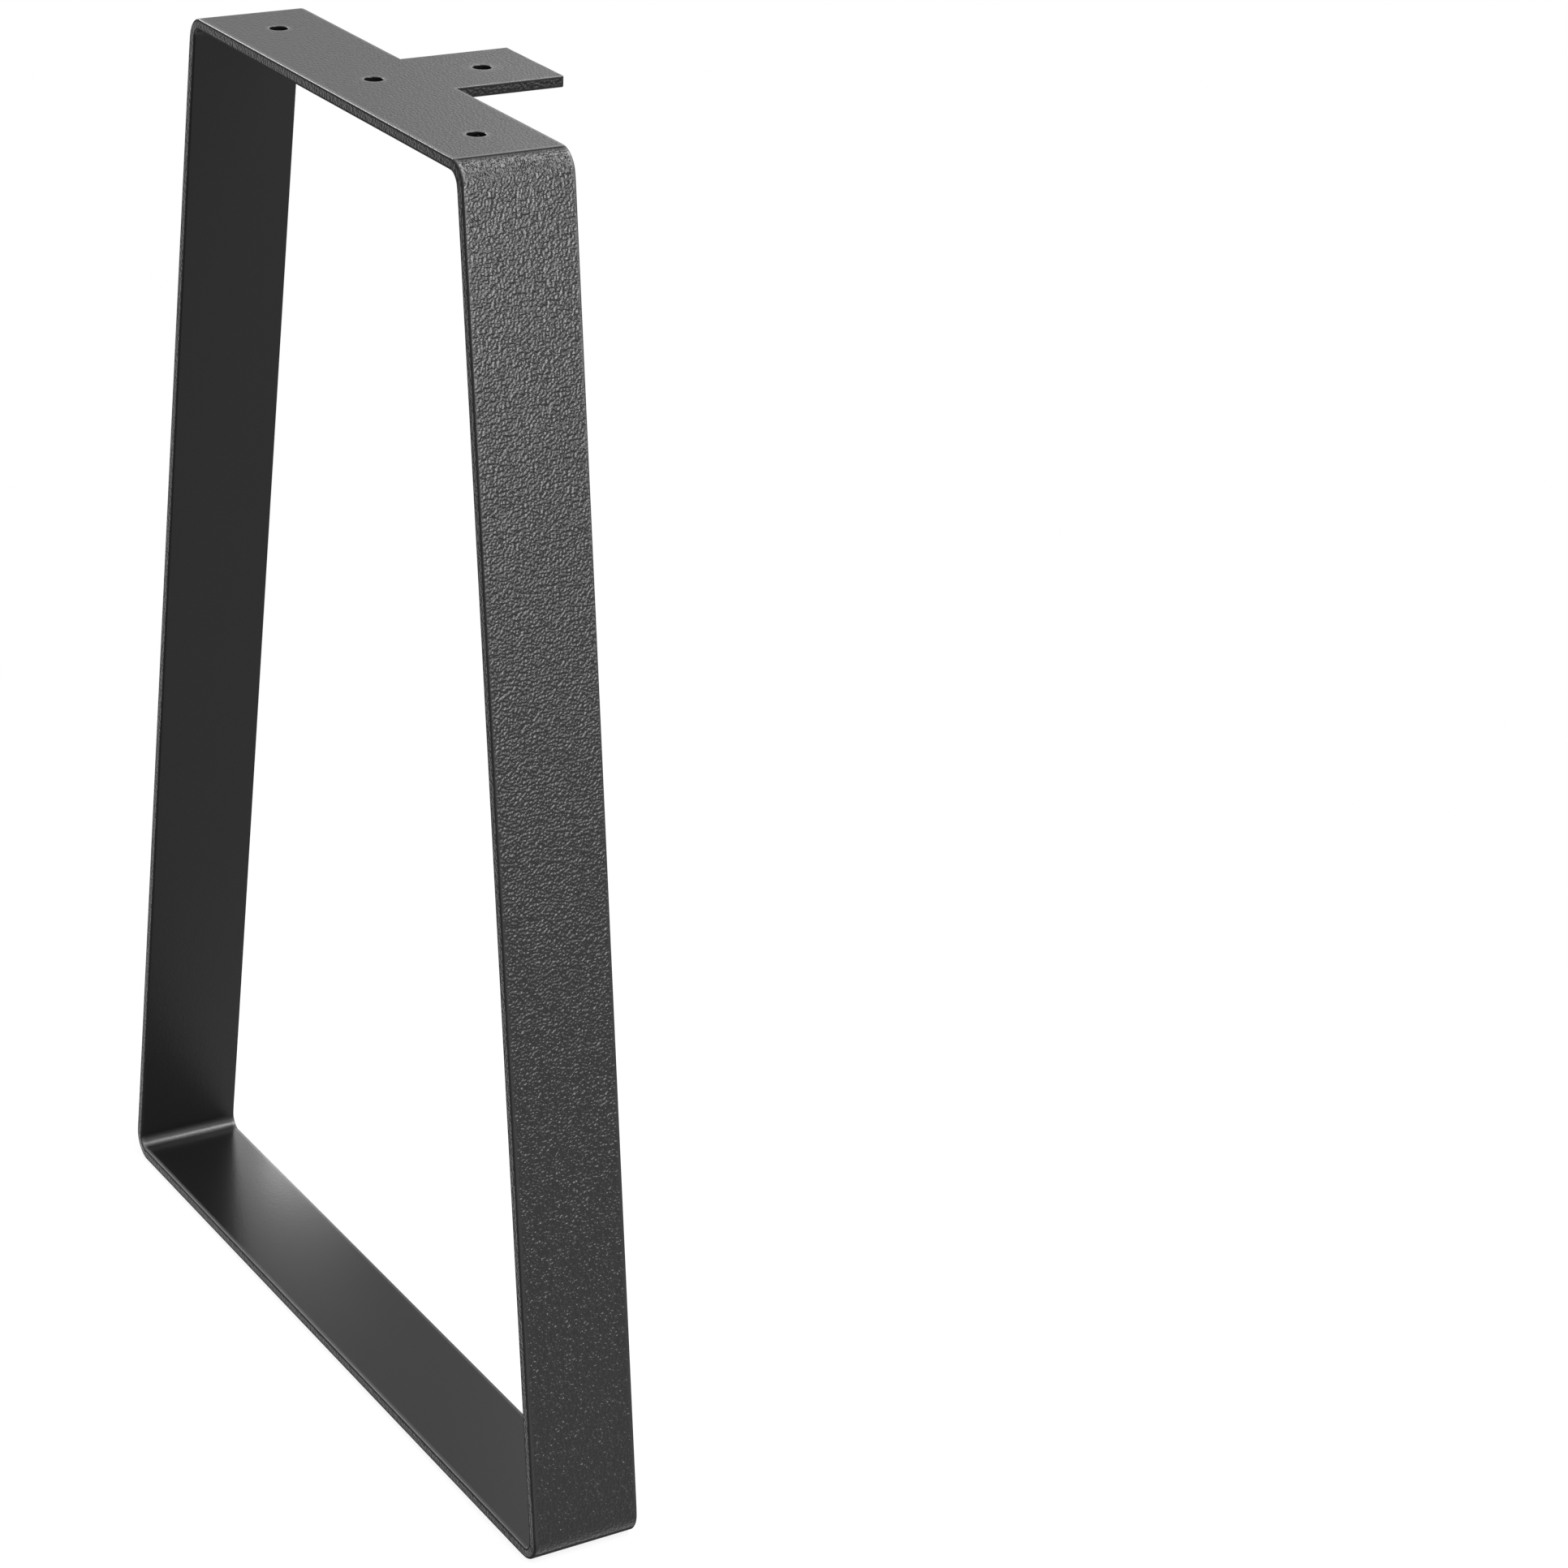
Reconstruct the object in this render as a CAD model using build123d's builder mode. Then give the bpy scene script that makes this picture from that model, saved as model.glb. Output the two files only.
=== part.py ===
from build123d import *
import os

# Trestle table leg in flat steel bar, in millimetres.
# The floor is at z = 0, with x along the table's width and y across the bar.
# The origin is the middle of the bottom run's underside.

# Driving dimensions
leg_height = 710.0
top_run_width = 300.0
bottom_run_width = 500.0
bar_width = 60.0
bar_thickness = 6.0
inside_bend_radius = 6.0
bar_edge_radius = 0.6
tab_length = 60.0
screw_hole_diameter = 9.5
end_hole_spacing = 216.0

# Worked out from the sizes above
outside_bend_radius = inside_bend_radius + bar_thickness
bar_side = bar_width / 2
edge_rounding = min(bar_edge_radius, bar_thickness / 3)
tab_centre = bar_side + tab_length / 2
table_face = Plane.XY.offset(leg_height)

# The loop: one bar folded at its four corners, its ends welded together and ground flush
with BuildPart() as loop:
    with BuildSketch(Plane.XZ):
        with BuildLine():
            Polyline(
                (-bottom_run_width / 2, 0),
                (bottom_run_width / 2, 0),
                (top_run_width / 2, leg_height),
                (-top_run_width / 2, leg_height),
                close=True,
            )
        bar_outline = make_face()
        fillet(bar_outline.vertices(), outside_bend_radius)
        offset(amount=-bar_thickness, mode=Mode.SUBTRACT)
    extrude(amount=bar_side, both=True)
    # a rolled bar's long edges are slightly round
    fillet(faces().filter_by(Axis.Y).edges(), edge_rounding)
    # the weld fills the round edges along the tab's root, flush with the bar
    with Locations((0, bar_side, leg_height)):
        Box(
            bar_width - 2 * edge_rounding,
            2 * edge_rounding,
            bar_thickness,
            align=(Align.CENTER, Align.MAX, Align.MAX),
        )
    # one screw hole near each end of the top run, and one in its middle
    with Locations(table_face):
        with GridLocations(end_hole_spacing / 2, 0, 3, 1):
            Hole(screw_hole_diameter / 2, depth=2 * bar_thickness)

# The tab: a short length of the same bar, butt-welded to the middle of the top run
with BuildPart() as tab:
    with BuildSketch(table_face):
        with Locations((0, tab_centre)):
            Rectangle(bar_width, tab_length)
    extrude(amount=-bar_thickness)
    free_end = faces().sort_by(Axis.Y)[-1]
    long_edges = edges().filter_by(Axis.Y)
    fillet(long_edges + free_end.edges(), edge_rounding)
    with Locations(table_face):
        with Locations((0, tab_centre)):
            Hole(screw_hole_diameter / 2, depth=2 * bar_thickness)

loop.part.label = "loop"
tab.part.label = "tab"

os.makedirs("parts", exist_ok=True)
export_step(loop.part, "parts/loop.step")
export_step(tab.part, "parts/tab.step")
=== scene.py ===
# %% [markdown]
# # A trestle table leg in flat steel bar
#
# The leg is one 60 x 6 mm steel bar, folded at four corners into a closed trapezoid and powder coated.
# A short tab of the same bar stands out from its top run, and four screw holes take it to a table top.
# The imported solids fix every size and place, so they are loaded first and nothing is moved afterwards.
# What shows is a new skin over them, worked out with numpy.
# A swept surface turns its bends more smoothly than the solids' loose triangles do, and it can carry
# what the coat's materials need: how worn each point is and how much highlight is painted on it, and
# which finish each face has.

# %% Load the imported leg
import math
import bmesh
import bpy
import numpy as np
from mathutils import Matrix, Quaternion, Vector


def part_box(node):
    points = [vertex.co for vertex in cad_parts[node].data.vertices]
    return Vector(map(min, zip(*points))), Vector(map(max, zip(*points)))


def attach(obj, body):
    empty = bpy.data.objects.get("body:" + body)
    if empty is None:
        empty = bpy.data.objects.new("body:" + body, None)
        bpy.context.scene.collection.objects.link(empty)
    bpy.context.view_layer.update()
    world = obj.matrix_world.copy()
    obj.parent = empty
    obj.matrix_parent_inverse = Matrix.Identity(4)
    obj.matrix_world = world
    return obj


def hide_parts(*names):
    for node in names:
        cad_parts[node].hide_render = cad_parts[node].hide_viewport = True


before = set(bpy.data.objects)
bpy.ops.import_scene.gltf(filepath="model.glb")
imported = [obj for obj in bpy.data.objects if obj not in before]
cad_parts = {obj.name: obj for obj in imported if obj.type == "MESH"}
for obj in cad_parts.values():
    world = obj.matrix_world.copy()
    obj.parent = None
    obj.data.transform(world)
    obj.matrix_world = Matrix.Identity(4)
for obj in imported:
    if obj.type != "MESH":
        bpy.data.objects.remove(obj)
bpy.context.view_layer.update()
scene = bpy.context.scene

# %% [markdown]
# ## The sizes
#
# A maker of such a leg starts from the bar stock and four bending lines.
# A picture gives only ratios, and this one leaves them open by several percent, or by more if its
# camera isn't a plain one. So the height is assumed, as a usual one for a table, and the other main
# sizes are stock or round sizes near the ratios. A bar a little thicker than 6 mm would fit as well.
# The widths of the two level runs are taken between the sharp corners that the bends round off.
# Lengths are written in millimetres, as on a drawing, and turned to metres once.

# %% Sizes in millimetres
MM = 0.001
leg_height = 710 * MM
top_run_width = 300 * MM
bottom_run_width = 500 * MM
bar_width = 60 * MM
bar_thickness = 6 * MM
inside_bend_radius = 6 * MM
edge_radius = 0.8 * MM
wear_and_highlight_reach = 1.8 * MM
edge_strip = 0.5 * MM
tab_length = 60 * MM
hole_radius = 4.75 * MM
hole_lip = 0.5 * MM
end_hole_offset = 108 * MM

half_width, half_thickness = bar_width / 2, bar_thickness / 2
loop_low, loop_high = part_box("loop")
print("height here and in the solid:", leg_height, round(loop_high.z - loop_low.z, 4))

# %% [markdown]
# ## The line that the bar follows
#
# A folded bar is described by the line through the middle of its thickness: straight runs and arcs.
# The line could be a Blender curve with a bevel, but then the stations along it couldn't be put where
# the screw holes need them. Worked out directly it is short: each outer corner moves in by half the
# thickness, and an arc whose radius is the inside bend plus half the thickness rounds it off.
# The loop lies in the xz plane and is followed anticlockwise from the bottom run.

# %% Corners and directions of the four runs
middle_radius = inside_bend_radius + half_thickness
corners = np.array([
    [-bottom_run_width / 2, 0.0],
    [bottom_run_width / 2, 0.0],
    [top_run_width / 2, leg_height],
    [-top_run_width / 2, leg_height],
])
run = np.roll(corners, -1, axis=0) - corners
run_direction = run / np.hypot(*run.T)[:, None]
run_outward = np.stack([run_direction[:, 1], -run_direction[:, 0]], axis=1)
outward_before = np.roll(run_outward, 1, axis=0)
cos_turn = (run_outward * outward_before).sum(axis=1)
turn = np.arccos(cos_turn)
middle = corners - half_thickness * (outward_before + run_outward) / (1 + cos_turn)[:, None]
tangent = middle_radius * np.tan(turn / 2)
print("turn at each corner in degrees:", np.degrees(turn).round(1))

# %% Where the top run is drilled
drill_half, drill_steps = 9 * MM, 12
drill_line = drill_half * np.linspace(-1, 1, drill_steps + 1)
drill_clearance = 2 * MM
holes_x = np.array([-end_hole_offset, 0.0, end_hole_offset])
print("screw holes at x in mm:", (holes_x / MM).round(1))

# %% Stations of a straight run
TOP = 2
beside_bend = np.array([0, 2, 4, 7]) * MM
past_bend = 12 * MM
plain_stations = 24


def straight(i):
    """Stations of run i between its two bends, as points and outward directions.

    They stand close together beside the bends. On the top run they also fall on
    the squares that are left open round the screw holes.
    """
    start, end = middle[i], middle[(i + 1) % 4]
    length = np.hypot(*(end - start))
    first, last = tangent[i], length - tangent[(i + 1) % 4]
    between = np.linspace(first + past_bend, last - past_bend, plain_stations)
    along = np.concatenate([first + beside_bend, between, (last - beside_bend)[::-1]])
    if i == TOP:
        holes_along = start[0] - holes_x
        too_near = (np.abs(along[:, None] - holes_along) < drill_half + drill_clearance).any(axis=1)
        at_holes = (holes_along[:, None] + drill_line).ravel()
        along = np.sort(np.concatenate([along[~too_near], at_holes]))
    points = start + along[:, None] * run_direction[i]
    return points, np.broadcast_to(run_outward[i], points.shape)


# %% Stations of a bend
bend_steps = 20


def bend(i):
    """Stations of the bend at corner i, without the two ends that the runs already have.

    The outward direction turns evenly from one run's to the next one's, and the
    point is the arc's centre plus the middle radius along that direction.
    """
    angle = turn[i] * np.arange(1, bend_steps) / bend_steps
    x, z = run_outward[i - 1]
    outward = np.stack([
        x * np.cos(angle) - z * np.sin(angle),
        x * np.sin(angle) + z * np.cos(angle),
    ], axis=1)
    arc_start = middle[i] - tangent[i] * run_direction[i - 1]
    centre = arc_start - middle_radius * run_outward[i - 1]
    return centre + middle_radius * outward, outward


# %% The whole line, station by station
pieces_of_line = [piece for i in range(4) for piece in (straight(i), bend((i + 1) % 4))]
station = np.concatenate([points for points, _ in pieces_of_line])
outward = np.concatenate([directions for _, directions in pieces_of_line])
step = np.hypot(*(np.roll(station, -1, axis=0) - station).T)
along_line = np.concatenate([[0.0], np.cumsum(step)[:-1]])
print(len(station), "stations, bar", round(step.sum(), 3), "m long before it is folded")

# %% [markdown]
# ## How a bend squeezes the bar
#
# Where flat bar is folded this tightly, the steel on the inside of the bend is pressed together and
# bulges out past the bar's edges, and the outside is drawn in by about as much.
# A third of a millimetre is a guess at a usual amount, too small to measure in the picture.
# It is what tells a folded bar from a cut plate.
# The swell is 1 in the middle of a bend and dies away as a squared cosine just past its ends.

# %% Swell of each station
bend_swell = 0.35 * MM
swell_reach = 6 * MM
counts = [len(points) for points, _ in pieces_of_line]
bend_first = np.cumsum(counts)[0::2]
bend_last = np.cumsum(counts)[1::2] - 1
bend_middle = (along_line[bend_first] + along_line[bend_last]) / 2
half_arc = (along_line[bend_last] - along_line[bend_first]) / 2 + swell_reach
away = np.abs(along_line[:, None] - bend_middle) / half_arc
swell = (np.cos(np.pi / 2 * np.clip(away, 0, 1)) ** 2).max(axis=1)
print("stations that swell:", int((away < 1).any(axis=1).sum()))

# %% [markdown]
# ## The bar's section
#
# Rolled flat bar has small round edges, and they catch the line of light that draws the leg's outline.
# So the section isn't a plain rectangle: four quarter circles join the flats.
# Each flat also has points where the wear and painted highlight of its edges end, and points in line
# with the squares round the screw holes. Each narrow side has two that mark off a strip beside each
# edge. None of these changes the shape, but they let the wear and painted highlight, the holes and the
# finish of the faces have their places.
# A point of the section is (t, y), with t outward through the thickness and y across the bar.

# %% Points round the section
quarter_points = 6
quarter = np.radians(np.linspace(0, 90, quarter_points))
flat_t, flat_y = half_thickness - edge_radius, half_width - edge_radius
wear_and_highlight_ends = flat_y - wear_and_highlight_reach
mid_flat = 20 * MM
flat_line = np.concatenate([
    [wear_and_highlight_ends, mid_flat],
    drill_line[::-1],
    [-mid_flat, -wear_and_highlight_ends],
])
side_line = np.array([flat_t - edge_strip, edge_strip - flat_t])
corner_in = edge_radius * np.cos(quarter)
corner_out = edge_radius * np.sin(quarter)
section = np.concatenate([
    np.stack([np.full(len(flat_line), half_thickness), flat_line], axis=1),
    np.stack([flat_t + corner_in, -flat_y - corner_out], axis=1),
    np.stack([side_line, np.full(2, -half_width)], axis=1),
    np.stack([-flat_t - corner_out, -flat_y - corner_in], axis=1),
    np.stack([np.full(len(flat_line), -half_thickness), flat_line[::-1]], axis=1),
    np.stack([-flat_t - corner_in, flat_y + corner_out], axis=1),
    np.stack([-side_line, np.full(2, half_width)], axis=1),
    np.stack([flat_t + corner_out, flat_y + corner_in], axis=1),
])
print(len(section), "points round the section")

# %% [markdown]
# ## Carrying the section along the line
#
# Every point of the loop's skin is station + t * outward in the xz plane, with y from the section.
# Where a bend swells, y grows on its inside and shrinks on its outside, in proportion to t.
# Both parameters close on themselves, so the grid is a ring of rings, with no seam and no pole.
# The squares round the three screw holes are left out of it and filled in the next step.

# %% The swept grid
t, y = section.T
loop_grid = np.empty((len(station), len(section), 3))
loop_grid[..., 0] = station[:, None, 0] + t * outward[:, None, 0]
loop_grid[..., 1] = y * (1 - bend_swell / half_width * swell[:, None] * t / half_thickness)
loop_grid[..., 2] = station[:, None, 1] + t * outward[:, None, 1]


def grid_faces(rows, columns, close_rows=False, close_columns=False):
    """Four corner indexes for each face of a grid, closed on itself where asked.

    The point in row i and column j has the index i * columns + j.
    """
    i = np.arange(rows if close_rows else rows - 1)
    j = np.arange(columns if close_columns else columns - 1)
    i, j = np.meshgrid(i, j, indexing="ij")
    down, across = (i + 1) % rows, (j + 1) % columns
    return np.stack([
        i * columns + j,
        down * columns + j,
        down * columns + across,
        i * columns + across,
    ], axis=-1).reshape(-1, 4)


# %% The faces that are left out for the holes
loop_faces = grid_faces(*loop_grid.shape[:2], close_rows=True, close_columns=True)
face_middle = loop_grid.reshape(-1, 3)[loop_faces].mean(axis=1)
at_top = face_middle[:, 2] > leg_height - 1.5 * bar_thickness
at_hole = (np.abs(face_middle[:, :1] - holes_x) < drill_half).any(axis=1)
drilled = at_top & at_hole & (np.abs(face_middle[:, 1]) < drill_half)
print("faces in the sweep:", len(loop_faces), "left out for the holes:", int(drilled.sum()))

# %% [markdown]
# ## Screw holes
#
# A drilled and coated hole has a soft lip, because paint draws back from a sharp edge and rounds it.
# A boolean would cut the hole, but it leaves long thin faces that shade badly beside it.
# Here one grid runs from a border on the top face to the lip, down the wall, and out to the same border
# on the underside. Each point slides along a ray from the hole's centre, so the rows turn from
# a square to a circle by themselves.

# %% A surface from a border, through a hole, to the same border below
lip_steps = 4
lip_arc = np.radians(np.linspace(0, 90, lip_steps + 1))[1:]


def drilled_patch(border, centre, rows):
    """The drilled bar within a border: its top face, the hole's wall and its underside.

    On a face a point is border * b + lip * (1 - b), for each share b in rows.
    From there the radius and the height follow a quarter circle to the wall.
    """
    reach = border - centre
    ray = reach / np.hypot(*reach.T)[:, None]
    share = np.array(rows)[None, :, None]
    lip = centre + (hole_radius + hole_lip) * ray
    flat = border[:, None] * share + lip[:, None] * (1 - share)
    radius = hole_radius + hole_lip * (1 - np.sin(lip_arc))
    rounded = centre + radius[None, :, None] * ray[:, None]
    plan = np.concatenate([flat, rounded], axis=1)
    depth = np.concatenate([np.zeros(len(rows)), hole_lip * (1 - np.cos(lip_arc))])
    height = np.concatenate([leg_height - depth, leg_height - bar_thickness + depth[::-1]])
    plan = np.concatenate([plan, plan[:, ::-1]], axis=1)
    return np.concatenate([plan, np.broadcast_to(height, plan.shape[:2])[..., None]], axis=2)


# %% The three holes of the top run
hole_rows = [1, 0.75, 0.5, 0.25, 0]
side = np.linspace(-1, 1, drill_steps + 1)[:-1]
one = np.ones(drill_steps)
square = drill_half * np.concatenate([
    np.stack([one, side], axis=1),
    np.stack([-side, one], axis=1),
    np.stack([-one, -side], axis=1),
    np.stack([side, -one], axis=1),
])
loop_holes = [drilled_patch(square + [x, 0], np.array([x, 0]), hole_rows) for x in holes_x]
print("each hole:", loop_holes[0].shape[:2], "points")

# %% [markdown]
# ## Wear and painted highlights, and the finish of each face
#
# The picture has light lines on the edges that look up, and dark ones beside the other edges.
# Some of that may be real, because powder pulls back from an edge as it melts and handling rubs it, and
# that is drawn as lower wrinkles. The light lines themselves are painted highlights.
# Some of it looks like the picture's own sharpening, and the two can't be told apart.
# Both are drawn as finishes of the coat. A number at each point says how light its line is, and is 1 on
# an edge: it lowers the wrinkles, and on an edge that looks up it paints a highlight grey. Where the tab
# is welded on, the edge is covered, so there it is 0.
#
# Whole faces differ too. Little powder gets into a closed frame, which would explain why the skin
# is smooth and dark there. The other finishes were only matched to the picture: a weaker mirror on
# the narrow sides, and matt on the strips beside the edges and on the round edges of the legs.
# The underside is out of sight, and is taken to be matt too. So each face takes one of four finishes,
# and these are their numbers.
# A face's finish follows from where its middle is in the section, and from how far up or down
# its station looks, which is the height of the outward direction: 0.5 is a tilt of 30 degrees.

# %% Wear and painted highlight of the edges
OUTSIDE, INSIDE, SIDE, MATT = 0, 1, 2, 3


def near_section_edge(t, y):
    """1 on the round edges of the bar, fading to 0 over the reach of its wear and painted highlight on
    its flats.
    """
    past_flat = np.maximum(np.abs(y) - flat_y, 0) * (np.abs(t) > flat_t)
    fade = np.clip(1 - (flat_y - np.abs(y) - past_flat) / wear_and_highlight_reach, 0, 1)
    return fade * (np.abs(t) > flat_t - edge_strip)


def near_lip(patch, centre):
    """1 on a hole's lip and wall, fading to 0 over the reach of the wear and painted highlight on the
    flat round it.
    """
    radius = np.hypot(*(patch[..., :2] - centre).T).T
    return np.clip(1 - (radius - hole_radius - hole_lip) / wear_and_highlight_reach, 0, 1)


def finish_of(faces, inner_point):
    """INSIDE for faces whose corners are all inner points, OUTSIDE for the rest."""
    return np.where(inner_point.ravel()[faces].all(axis=1), INSIDE, OUTSIDE)


# %% Wear and painted highlight of the loop
TINY = 0.001 * MM
# 1 on the edges: there the wrinkles are lower, and an edge that looks up is painted grey as a highlight.
loop_wear_and_highlight = np.tile(near_section_edge(t, y), (len(station), 1))
grid_x, grid_z = loop_grid[..., 0], loop_grid[..., 2]
beside_tab = (np.abs(grid_x) < half_width + TINY) & (grid_z > leg_height / 2) & (y > 0)
loop_wear_and_highlight[beside_tab] = 0
print("worn points:", int((loop_wear_and_highlight > 0).sum()), "of", loop_wear_and_highlight.size)

# %% The finish of each face of the loop
mid_t, mid_y = (section + np.roll(section, -1, axis=0)).T / 2
side_from = flat_y + 0.8 * edge_radius
rounded = (np.abs(mid_t) > flat_t) & (np.abs(mid_y) > flat_y)
inner = mid_t < TINY - half_thickness
narrow = np.abs(mid_y) > side_from
strip = narrow & (np.abs(mid_t) > flat_t - edge_strip)
section_finish = np.select([inner, strip, narrow], [INSIDE, MATT, SIDE], OUTSIDE)
loop_finish = np.tile(section_finish, (len(station), 1))
looks_up = outward[:, 1]
steep = 0.5
on_the_legs = np.abs(looks_up) < steep
loop_finish[np.ix_(on_the_legs, rounded)] = MATT
underneath = looks_up < -steep
loop_finish[np.ix_(underneath, mid_t > flat_t)] = MATT

# %% [markdown]
# ## The crease
#
# Where the near leg turns into the top run, the picture has a light line and then a dark one.
# What makes them isn't known: a mark of the press, something dark that the bend mirrors, or sharpening.
# They are drawn as finishes, not as a shape: a painted highlight on two rows of points, then two rows of
# rubbed faces.
# Both came out weaker than in the picture, and 3 to 5 mm nearer the middle of the top run.

# %% The crease where the near leg turns into the top run
NEAR_TOP = 1
light_line = bend_last[NEAR_TOP] - [0, 1]
dark_line = bend_last[NEAR_TOP] - [2, 3]
# The light line is painted: these two rows are painted grey as a highlight.
loop_wear_and_highlight[np.ix_(light_line, t > flat_t)] = 1
loop_finish[np.ix_(dark_line, mid_t > flat_t)] = MATT
loop_finish = loop_finish.ravel()
print("faces of each finish:", np.bincount(loop_finish))

# %% [markdown]
# ## From grids to a closed mesh
#
# The grids share their borders point for point, so they are laid in one mesh and the doubles merged.
# A closed skin has exactly two faces at each edge, which the cell below counts, and a volume, which it
# prints. Normals are weighted by face area, so the wide flats stay flat and only the round edges and
# bends shade round.

# %% One function that joins grids into a piece
sharp_angle = math.radians(40)
CUBIC_CM = 1e-6


def skin(name, node, grids):
    """Joins grids into one closed mesh, which stands for a CAD node.

    A grid is its points, its faces, the wear and painted highlight of each point and the finish of each
    face.
    """
    sizes = [points.reshape(-1, 3).shape[0] for points, *_ in grids]
    shift = np.cumsum([0] + sizes[:-1])
    points = np.concatenate([g[0].reshape(-1, 3) for g in grids])
    faces = np.concatenate([g[1] + s for g, s in zip(grids, shift)])
    mesh = bpy.data.meshes.new(name)
    mesh.from_pydata(points, [], faces.tolist())
    wear_and_highlight = np.concatenate([g[2].ravel() for g in grids]).astype(np.float32)
    finish = np.concatenate([g[3] for g in grids]).astype(np.int32)
    mesh.attributes.new("wear_and_highlight", "FLOAT", "POINT").data.foreach_set("value", wear_and_highlight)
    mesh.polygons.foreach_set("material_index", finish)
    work = bmesh.new()
    work.from_mesh(mesh)
    bmesh.ops.remove_doubles(work, verts=work.verts, dist=TINY)
    bmesh.ops.dissolve_degenerate(work, edges=work.edges, dist=TINY / 10)
    bmesh.ops.recalc_face_normals(work, faces=work.faces)
    gaps = sum(not edge.is_manifold for edge in work.edges)
    print(name, len(work.faces), "faces,", gaps, "gaps,", round(work.calc_volume() / CUBIC_CM, 1), "cm3")
    work.to_mesh(mesh)
    work.free()
    mesh.polygons.foreach_set("use_smooth", np.ones(len(mesh.polygons), bool))
    mesh.set_sharp_from_angle(angle=sharp_angle)
    piece = bpy.data.objects.new(name, mesh)
    scene.collection.objects.link(piece)
    weighted = piece.modifiers.new("weighted_normals", "WEIGHTED_NORMAL")
    weighted.keep_sharp = True
    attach(piece, "root")
    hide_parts(node)
    return piece


# %% The loop
loop_parts = [(loop_grid, loop_faces[~drilled], loop_wear_and_highlight, loop_finish[~drilled])]
for patch, x in zip(loop_holes, holes_x):
    faces = grid_faces(*patch.shape[:2], close_rows=True)
    below_middle = patch[..., 2] < leg_height - half_thickness
    # Each lip is worn, and where it looks up it is painted grey as a highlight.
    wear_and_highlight = near_lip(patch, np.array([x, 0]))
    loop_parts.append((patch, faces, wear_and_highlight, finish_of(faces, below_middle)))
bar_loop = skin("bar_loop", "loop", loop_parts)

# %% [markdown]
# ## The tab
#
# The tab is a short end of the same bar, butted against the top run, welded, and ground flush,
# so that the two top faces read as one. Its free end and long edges are round. Its root isn't:
# it reaches over the bar's own round edge, as the weld does, and meets the flat squarely.
# The rounding is one grid again: a border line in plan, and the direction in which each point
# of it rounds over, which is nothing along the root. Like the loop's narrow sides, the rim has a rubbed
# strip beside each edge, which takes in the lower part of the rounding.
# On its flat, one close row beside the border and one beside the hole keep the wear and painted
# highlight to the edges.

# %% Border of the tab's flat, and the way its edge rounds over
root_y = half_width - edge_radius
end_y = half_width + tab_length - edge_radius
side_x = half_width - edge_radius
tab_steps = 12
share = np.linspace(0, 1, tab_steps + 1)[:, None]
fan = quarter[1:-1]
tab_corners = np.array([[side_x, root_y], [side_x, end_y], [-side_x, end_y], [-side_x, root_y]])


def border_side(start, end, way):
    """Points from start to end, all rounding over the same way."""
    line = tab_corners[start] * (1 - share) + tab_corners[end] * share
    return np.concatenate([line, np.broadcast_to(way, line.shape)], axis=1)


def border_corner(corner, ways):
    """One corner point, repeated for each way of a fan."""
    return np.concatenate([np.broadcast_to(tab_corners[corner], ways.shape), ways], axis=1)


tab_border = np.concatenate([
    border_side(0, 1, [1, 0]),
    border_corner(1, np.stack([np.cos(fan), np.sin(fan)], axis=1)),
    border_side(1, 2, [0, 1]),
    border_corner(2, np.stack([-np.sin(fan), np.cos(fan)], axis=1)),
    border_side(2, 3, [-1, 0]),
    border_side(3, 0, [0, 0]),
])
inset, way = tab_border[:, :2], tab_border[:, 2:]
print("tab border:", len(tab_border), "points")

# %% The tab's rounded rim
reach = np.append(corner_out, edge_radius)
drop = np.append(edge_radius - corner_in, edge_radius + edge_strip)
reach = np.concatenate([reach, reach[::-1]])
rim_height = np.concatenate([leg_height - drop, leg_height - bar_thickness + drop[::-1]])
rim_plan = inset[:, None] + reach[None, :, None] * way[:, None]
tab_rim = np.concatenate([
    rim_plan,
    np.broadcast_to(rim_height, rim_plan.shape[:2])[..., None],
], axis=2)
# The tab's edges are worn, and where they look up they are painted grey as a highlight.
rim_wear_and_highlight = np.broadcast_to(np.hypot(*way.T)[:, None], tab_rim.shape[:2])
rim_faces = grid_faces(*tab_rim.shape[:2], close_rows=True)
print("tab rim:", tab_rim.shape[:2], "points")

# %% The rim's finish: the wall in the middle, rubbed rows beside it, and the flats' finish above
rubbed_rows = 3
from_wall = np.arange(1 - len(reach) // 2, len(reach) // 2)
is_wall, is_rubbed = from_wall == 0, np.abs(from_wall) <= rubbed_rows
rim_finish = np.tile(np.select([is_wall, is_rubbed], [SIDE, MATT], OUTSIDE), len(tab_border))

# %% The tab's drilled faces, and the piece
tab_rows = [1, 0.95, 0.75, 0.5, 0.25, 0.05, 0]
tab_centre = np.array([0, half_width + tab_length / 2])
tab_faces = drilled_patch(inset, tab_centre, tab_rows)
flat_faces = grid_faces(*tab_faces.shape[:2], close_rows=True)
bar_tab = skin("bar_tab", "tab", [
    (tab_rim, rim_faces, rim_wear_and_highlight, rim_finish),
    (tab_faces, flat_faces, near_lip(tab_faces, tab_centre), np.full(len(flat_faces), OUTSIDE)),
])

# %% [markdown]
# ## Colours and nodes
#
# Colours are written as the eye reads them on a screen, in hex, and turned to linear light once.
# One helper adds a node with its settings and links, so that a material reads as a list of steps.

# %% Two helpers


def from_hex(code):
    """sRGB hex to the linear red, green, blue and alpha that a shader wants."""
    srgb = np.array([int(code[i : i + 2], 16) / 255 for i in (1, 3, 5)])
    linear = np.where(srgb <= 0.04045, srgb / 12.92, ((srgb + 0.055) / 1.055) ** 2.4)
    return (*linear.tolist(), 1.0)


def add_node(tree, kind, inputs=None, **settings):
    """Adds a node. A socket given as an input is linked, anything else is set as its value."""
    node = tree.nodes.new(kind)
    for name, value in settings.items():
        setattr(node, name, value)
    for name, value in (inputs or {}).items():
        if isinstance(value, bpy.types.NodeSocket):
            tree.links.new(value, node.inputs[name])
        else:
            node.inputs[name].default_value = value
    return node
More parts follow.
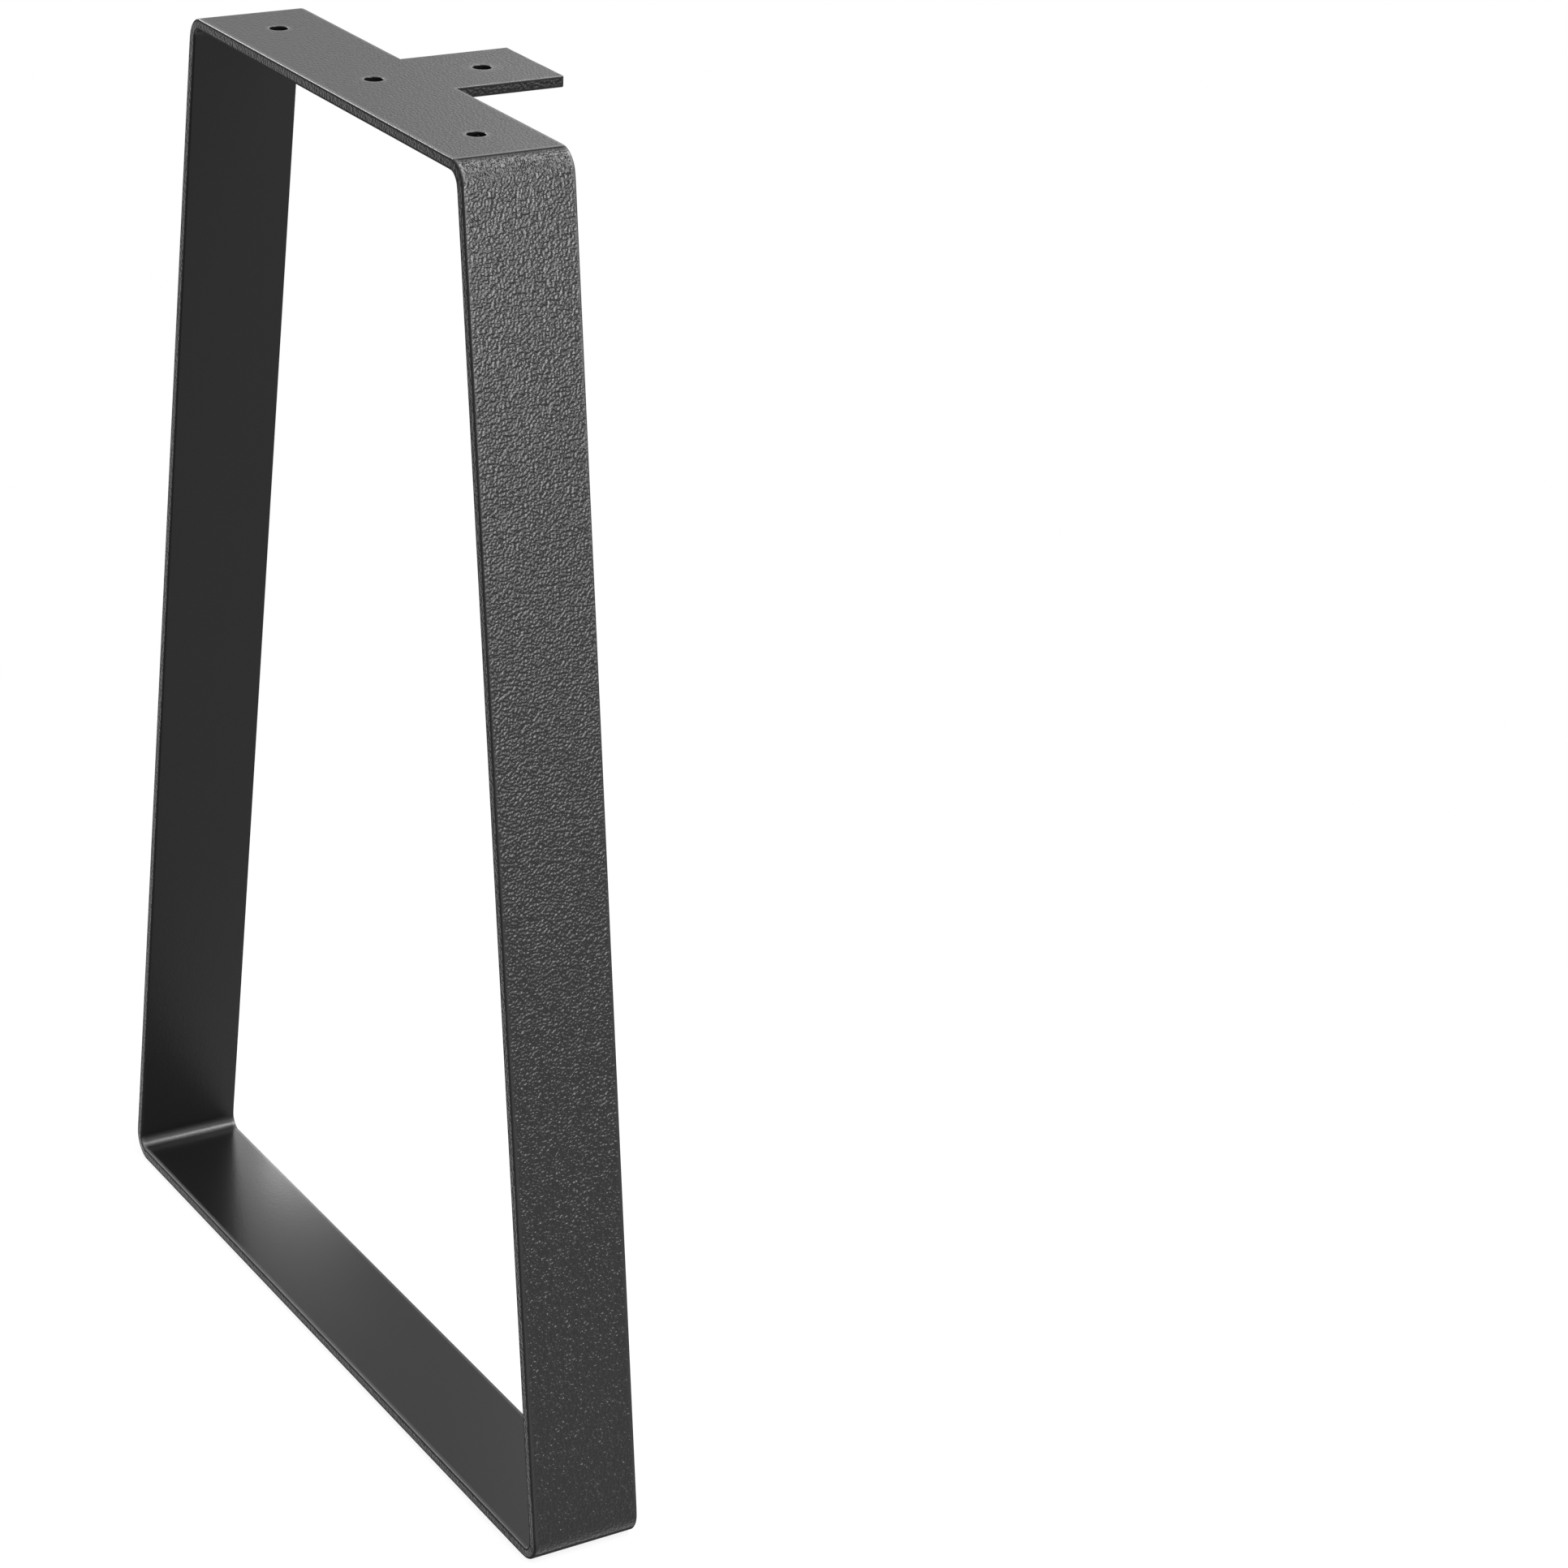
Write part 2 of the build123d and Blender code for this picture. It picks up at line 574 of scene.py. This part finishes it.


# %% [markdown]
# ## The coat
#
# The bar is powder coated in a fine black texture: polyester powder is sprayed on dry and baked.
# The binder wrinkles as it sets, which breaks up the reflections and makes a black that looks soft grey.
# So nearly all of the grey that the eye sees is reflection. The colour under it is close to black,
# and the shader is a plain dielectric with no metal in it. Polyester has an IOR of about 1.5. Here it
# was lowered, to between 1.25 and 1.4, until the faces had the greys of the picture. So the values
# stand for how the whole surface mirrors, and aren't measured properties of the plastic.
#
# A noise pattern in Object coordinates drives a bump for the wrinkles. Real ones are well under 1 mm
# apart, and here they are drawn coarser, so that they show when the whole leg is in view.
# Their height and the roughness were matched to the picture's grain, which is faint on level faces, so
# those have lower wrinkles and a roughness of their own. Where the coat is worn the wrinkles are lower
# too, and an edge that looks up is painted greyer, as a highlight.
#
# The four finishes share this recipe. The outside has the full texture, the inside hardly any, the
# narrow sides are the weakest mirror, and what is rubbed matt scatters light evenly.

# %% What the four finishes share
wrinkle_spacing = 1.35 * MM
coat_black = from_hex("#0d0d0d")
# The grey of the painted highlight on edges that look up.
highlight_grey = from_hex("#444444")
tilted, level = 0.8, 0.97
depth_on_level = 0.55
depth_on_worn = 0.3


def powder_coat(name, wrinkle_height, ior, roughness, level_roughness):
    """A black coat, in which wrinkle_height and roughness are those of its upright faces.

    Faces that look up have lower wrinkles and level_roughness, with a smooth change between.
    """
    coat = bpy.data.materials.new(name)
    coat.use_nodes = True
    tree = coat.node_tree
    tree.nodes.clear()
    place = add_node(tree, "ShaderNodeTexCoord").outputs["Object"]
    wrinkles = add_node(tree, "ShaderNodeTexNoise", {
        "Vector": place,
        "Scale": 1 / wrinkle_spacing,
        "Detail": 0.5,
        "Roughness": 0.5,
    })
    wear_and_highlight_fac = add_node(tree, "ShaderNodeAttribute", attribute_name="wear_and_highlight").outputs["Fac"]
    normal = add_node(tree, "ShaderNodeNewGeometry").outputs["Normal"]
    upwards = add_node(tree, "ShaderNodeSeparateXYZ", {0: normal}).outputs["Z"]
    on_level = add_node(tree, "ShaderNodeMapRange", {
        "Value": upwards,
        "From Min": tilted,
        "From Max": level,
        "To Min": 1.0,
        "To Max": depth_on_level,
    }).outputs[0]
    on_worn = add_node(tree, "ShaderNodeMapRange", {
        "Value": wear_and_highlight_fac,
        "To Min": 1.0,
        "To Max": depth_on_worn,
    }).outputs[0]
    depth = add_node(tree, "ShaderNodeMath", {0: on_level, 1: on_worn}, operation="MULTIPLY").outputs[0]
    gloss = roughness
    if level_roughness != roughness:
        gloss = add_node(tree, "ShaderNodeMapRange", {
            "Value": upwards,
            "From Min": tilted,
            "From Max": level,
            "To Min": roughness,
            "To Max": level_roughness,
        }).outputs[0]
    bump = add_node(tree, "ShaderNodeBump", {
        "Height": wrinkles.outputs["Fac"],
        "Strength": depth,
        "Distance": wrinkle_height,
    })
    # Painted highlight: worn edges are painted grey in proportion to how far they look up.
    facing_up = add_node(tree, "ShaderNodeClamp", {"Value": upwards}).outputs[0]
    painted_highlight = add_node(tree, "ShaderNodeMath", {0: wear_and_highlight_fac, 1: facing_up}, operation="MULTIPLY").outputs[0]
    colour = add_node(tree, "ShaderNodeMixRGB", {
        "Fac": painted_highlight,
        "Color1": coat_black,
        "Color2": highlight_grey,
    }).outputs[0]
    shader = add_node(tree, "ShaderNodeBsdfPrincipled", {
        "Base Color": colour,
        "Roughness": gloss,
        "IOR": ior,
        "Normal": bump.outputs["Normal"],
    })
    add_node(tree, "ShaderNodeOutputMaterial", {"Surface": shader.outputs["BSDF"]})
    return coat


# %% The four finishes, in the order of OUTSIDE, INSIDE, SIDE and MATT
coats = [
    powder_coat("textured_powder_coat", 0.66 * MM, ior=1.4, roughness=0.18, level_roughness=0.38),
    powder_coat("thin_powder_coat", 0.05 * MM, ior=1.3, roughness=0.36, level_roughness=0.24),
    powder_coat("worn_powder_coat", 0.75 * MM, ior=1.25, roughness=0.18, level_roughness=0.24),
    powder_coat("rubbed_powder_coat", 0.2 * MM, ior=1.3, roughness=0.9, level_roughness=0.9),
]
for piece in (bar_loop, bar_tab):
    for coat in coats:
        piece.data.materials.append(coat)
print("finishes:", [coat.name for coat in coats])

# %% [markdown]
# ## The floor
#
# A studio floor can be lit until it clips to white, but that light would spill onto the leg.
# Here the floor carries its own white instead. What the camera and the leg's reflections see of it
# is mostly a glow of strength 1, which renders as pure white. Close to the leg a share of it is
# a lit white surface, and that share is what keeps a soft shadow. Other light meets plain pale paint.
# Light Path tells the kinds of ray apart, and the glow isn't sampled as a lamp.

# %% Floor
floor_half = 6.0
floor_mesh = bpy.data.meshes.new("floor")
floor_corners = floor_half * np.array([[-1, -1, 0], [1, -1, 0], [1, 1, 0], [-1, 1, 0]])
floor_mesh.from_pydata(floor_corners, [], [(0, 1, 2, 3)])
floor = bpy.data.objects.new("floor", floor_mesh)
scene.collection.objects.link(floor)
print("floor:", 2 * floor_half, "m square")

# %% What is seen directly


def seen_directly(tree):
    """1 for rays from the camera, a reflection or a clear material, and 0 for all other light."""
    rays = add_node(tree, "ShaderNodeLightPath").outputs
    mirrored, through = rays["Is Glossy Ray"], rays["Is Transmission Ray"]
    either = add_node(tree, "ShaderNodeMath", {0: mirrored, 1: through}, operation="MAXIMUM").outputs[0]
    seen = {0: rays["Is Camera Ray"], 1: either}
    return add_node(tree, "ShaderNodeMath", seen, operation="MAXIMUM").outputs[0]


# %% The floor's paint
shadow_from, shadow_to = 0.3, 1.0
shadow_strength = 0.16
floor_paint = bpy.data.materials.new("pale_studio_floor")
floor_paint.use_nodes = True
floor_paint.cycles.emission_sampling = "NONE"
tree = floor_paint.node_tree
tree.nodes.clear()
spot = add_node(tree, "ShaderNodeTexCoord").outputs["Object"]
distance = add_node(tree, "ShaderNodeVectorMath", {0: spot}, operation="LENGTH").outputs["Value"]
shadow_share = add_node(tree, "ShaderNodeMapRange", {
    "Value": distance,
    "From Min": shadow_from,
    "From Max": shadow_to,
    "To Min": shadow_strength,
    "To Max": 0.0,
}).outputs[0]
white = from_hex("#ffffff")
glow = add_node(tree, "ShaderNodeEmission", {"Color": white, "Strength": 1.0})
lit_white = add_node(tree, "ShaderNodeBsdfDiffuse", {"Color": white})
background = add_node(tree, "ShaderNodeMixShader", {
    0: shadow_share,
    1: glow.outputs[0],
    2: lit_white.outputs[0],
})
pale = add_node(tree, "ShaderNodeBsdfDiffuse", {"Color": from_hex("#e6e6e6")})
surface = add_node(tree, "ShaderNodeMixShader", {
    0: seen_directly(tree),
    1: pale.outputs[0],
    2: background.outputs[0],
})
add_node(tree, "ShaderNodeOutputMaterial", {"Surface": surface.outputs[0]})
floor.data.materials.append(floor_paint)
print("shadow kept within", shadow_to, "m of the middle")

# %% [markdown]
# ## The air round it, and the lamps
#
# The world is white where it is seen or mirrored, as a white studio's walls are, and dimmer as a lamp.
# A flat bar shows its planes only where the light differs from side to side, so soft boxes do that.
# Each is a square area lamp, out of the camera's sight, aimed at a point of the leg.
# The last one is narrowed to a beam, because it lights only the inside of the far fold.
# Their places and strengths were matched to how bright the leg's faces are in the picture.
# They are one way to light it like that, and not a record of a real studio.

# %% World
world = bpy.data.worlds.new("white_studio")
scene.world = world
world.use_nodes = True
world.cycles.sampling_method = "NONE"
tree = world.node_tree
plain_level = 0.5
air_strength = add_node(tree, "ShaderNodeMapRange", {
    "Value": seen_directly(tree),
    "To Min": plain_level,
    "To Max": 1.0,
}).outputs[0]
air = tree.nodes["Background"]
air.inputs["Color"].default_value = white
tree.links.new(air_strength, air.inputs["Strength"])
scene.view_settings.view_transform = "Standard"
print("the air's strength is 1 where it is seen, and as a lamp", plain_level)

# %% Soft boxes


def soft_box(name, place, aim, size, watts):
    """A square area lamp of the given size at place, facing aim. The camera doesn't see it."""
    data = bpy.data.lights.new(name, "AREA")
    data.shape = "SQUARE"
    data.size = size
    data.energy = watts
    lamp = bpy.data.objects.new(name, data)
    scene.collection.objects.link(lamp)
    lamp.location = place
    lamp.rotation_euler = (Vector(aim) - Vector(place)).to_track_quat("-Z", "Y").to_euler()
    lamp.visible_camera = False
    return lamp


# %% The lamps: name, place, aim, size in metres, watts
lamps = [
    soft_box("front", (1.58, 0.0, 0.67), (0, 0, 0.45), 0.7, 16.0),
    soft_box("front_right", (1.4, 0.8, 0.6), (0.15, 0, 0.5), 0.5, 4.6),
    soft_box("close_front", (0.8, 0.1, 0.8), (0.15, 0, 0.65), 0.3, 2.0),
    soft_box("upper_right", (0.9, 0.5, 1.25), (0.15, 0, 0.6), 0.5, 5.8),
    soft_box("above_front", (0.64, 0.58, 1.63), (0.15, 0, 0.7), 0.5, 6.4),
    soft_box("above", (0.11, 0.58, 1.76), (0.15, 0, 0.7), 0.5, 9.0),
    soft_box("left", (-1.32, -0.35, 1.28), (0, 0, 0.45), 0.7, 13.0),
    soft_box("behind", (-0.96, 0.96, 1.3), (0, 0, 0.45), 0.7, 1.6),
    soft_box("behind_foot", (-0.6, 0.2, 0.18), (-0.15, 0.01, 0), 0.12, 0.15),
    soft_box("low_by_foot", (-0.32, 0.12, 0.08), (-0.15, 0.01, 0), 0.06, 0.05),
    soft_box("over_fold", (-0.08, 0.19, 0.31), (-0.23, 0, 0.01), 0.1, 0.12),
]
over_fold = lamps[-1]
over_fold.data.spread = math.radians(40)
print(len(lamps), "lamps,", round(sum(lamp.data.energy for lamp in lamps), 1), "W together")

# %% [markdown]
# ## The camera
#
# Its place and lens were fitted to the straight edges of the leg, with the leg's sizes held.
# It is a long lens a little over two metres away, and it leans slightly. The leg stands left of
# the middle of the picture, so the camera looks past it, not at it. The edges agree to about
# 2 pixels in a frame of 1932, and to 4 or 5 at worst, along the bottom run and low on the near leg.

# %% Camera
eye = Vector((1.8932, -0.9462, 1.2701))
looked_at = Vector((0.1201, 0.1804, 0.3444))
lean = math.radians(2.584)
camera_data = bpy.data.cameras.new("camera")
camera_data.sensor_width = 36
camera_data.lens = 100.74
camera = bpy.data.objects.new("camera", camera_data)
scene.collection.objects.link(camera)
camera.location = eye
facing = (looked_at - eye).to_track_quat("-Z", "Y")
camera.rotation_euler = (facing @ Quaternion((0, 0, 1), lean)).to_euler()
scene.camera = camera
print("camera distance in metres:", round((looked_at - eye).length, 3))
